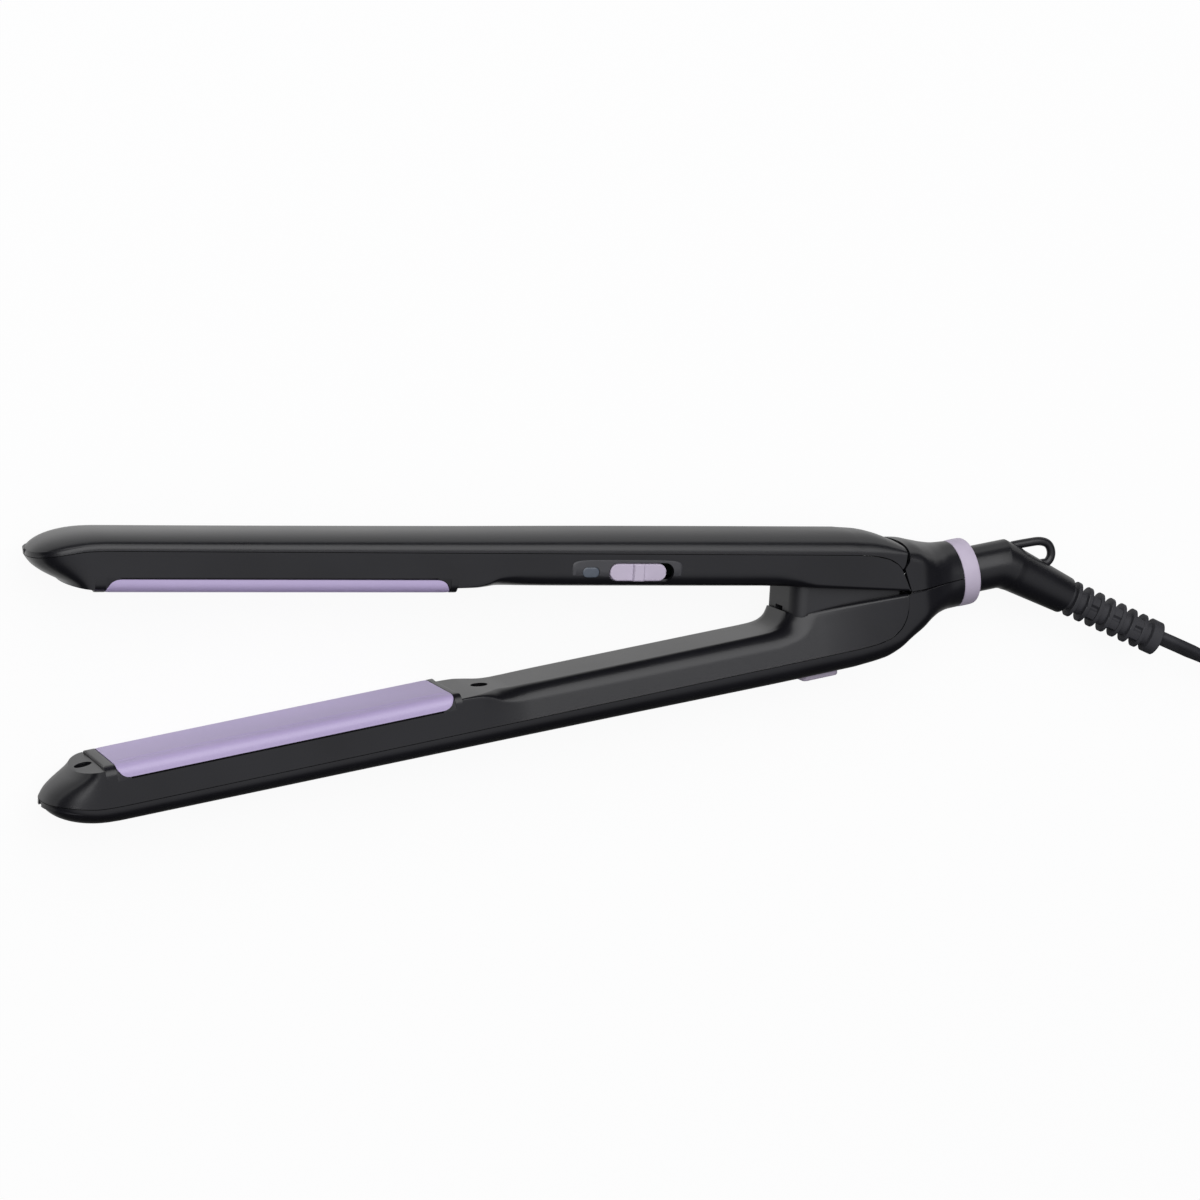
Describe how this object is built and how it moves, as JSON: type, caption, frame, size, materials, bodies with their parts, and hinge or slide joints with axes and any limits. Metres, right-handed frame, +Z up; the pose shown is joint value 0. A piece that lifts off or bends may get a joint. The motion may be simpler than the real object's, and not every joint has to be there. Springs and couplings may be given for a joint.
{
  "type": "hair straightener",
  "caption": "Slim hair straightener with smooth lilac plates, spring hinge, side switch, lock, swivel cord outlet with hanging loop, and coiled flat cord with plug.",
  "frame": {"origin": "where the hinge axis meets the flat side that the straightener lies on", "axes": "+X towards the cord and the lower arm lies along -X, +Y from the lower arm to the upper arm, +Z up across the arms"},
  "size_m": [0.4717, 0.1435, 0.0288],
  "materials": {
    "black_plastic": "satin moulded black, slightly violet",
    "lilac_coating": "satin lilac ceramic coating",
    "lilac_trim": "satin lilac moulding",
    "dark_trim": "matt black",
    "steel": "bright steel",
    "brass": "bright",
    "ceramic": "white ceramic heater",
    "silicone": "grey silicone",
    "cord_rubber": "matt black flex",
    "wire_cover": "silicone wire",
    "board": "circuit board",
    "window": "translucent pale blue",
    "tie": "black hook-and-loop band"
  },
  "bodies": {
    "lower_arm": {"lower_cover": "black_plastic", "lower_housing": "black_plastic", "lower_screws": "steel", "lower_cushions": "silicone", "lower_wires": "wire_cover", "neck_cap": "black_plastic", "neck_ring": "lilac_trim", "hinge_pin": "steel", "opening_spring": "steel", "contact_brushes": "brass", "cord_lead": "cord_rubber", "cord_coil": "cord_rubber", "cord_tail": "cord_rubber", "coil_tie": "tie", "plug_body": "cord_rubber", "plug_pins": "steel"},
    "upper_arm": {"upper_cover": "black_plastic", "upper_housing": "black_plastic", "upper_screws": "steel", "upper_cushions": "silicone", "upper_wires": "wire_cover", "hinge_block": "dark_trim", "switch_bezel": "dark_trim", "light_window": "window", "status_light": "window", "slide_switch": "dark_trim", "circuit_board": "board"},
    "lower_plate_group": {"lower_plate": "lilac_coating", "lower_carrier": "dark_trim", "lower_heater": "ceramic", "lower_sensor": "ceramic"},
    "upper_plate_group": {"upper_plate": "lilac_coating", "upper_carrier": "dark_trim", "upper_heater": "ceramic", "upper_sensor": "ceramic"},
    "switch_knob": {"switch_slider": "lilac_trim"},
    "lock": {"lock_slider": "lilac_trim"},
    "swivel": {"swivel_elbow": "black_plastic", "strain_relief": "dark_trim", "contact_rings": "brass"}
  },
  "joints": [
    {"name": "arm_hinge", "type": "hinge", "parent": "lower_arm", "child": "upper_arm", "pos_m": [0, 0, 0], "axis": [0, 0, 1], "range_deg": [0, 11.04], "stiffness_Nm_per_rad": 0.6, "springref_deg": -28.65, "deforming": ["opening_spring"]},
    {"name": "lower_plate_float", "type": "slide", "parent": "lower_arm", "child": "lower_plate_group", "axis": [0, -1, 0], "range_m": [0, 0.00045], "stiffness_N_per_m": 4000, "springref_m": -0.0008},
    {"name": "upper_plate_float", "type": "slide", "parent": "upper_arm", "child": "upper_plate_group", "axis": [0.1881, 0.9822, 0], "range_m": [0, 0.00045], "stiffness_N_per_m": 4000, "springref_m": -0.0008},
    {"name": "switch_slide", "type": "slide", "parent": "upper_arm", "child": "switch_knob", "axis": [0.9822, -0.1881, 0], "range_m": [0, 0.002]},
    {"name": "lock_slide", "type": "slide", "parent": "lower_arm", "child": "lock", "axis": [1, 0, 0], "range_m": [0, 0.004]},
    {"name": "cord_swivel", "type": "hinge", "parent": "lower_arm", "child": "swivel", "pos_m": [0.018, 0.00157, 0.014], "axis": [-1, 0, 0], "continuous": true}
  ]
}
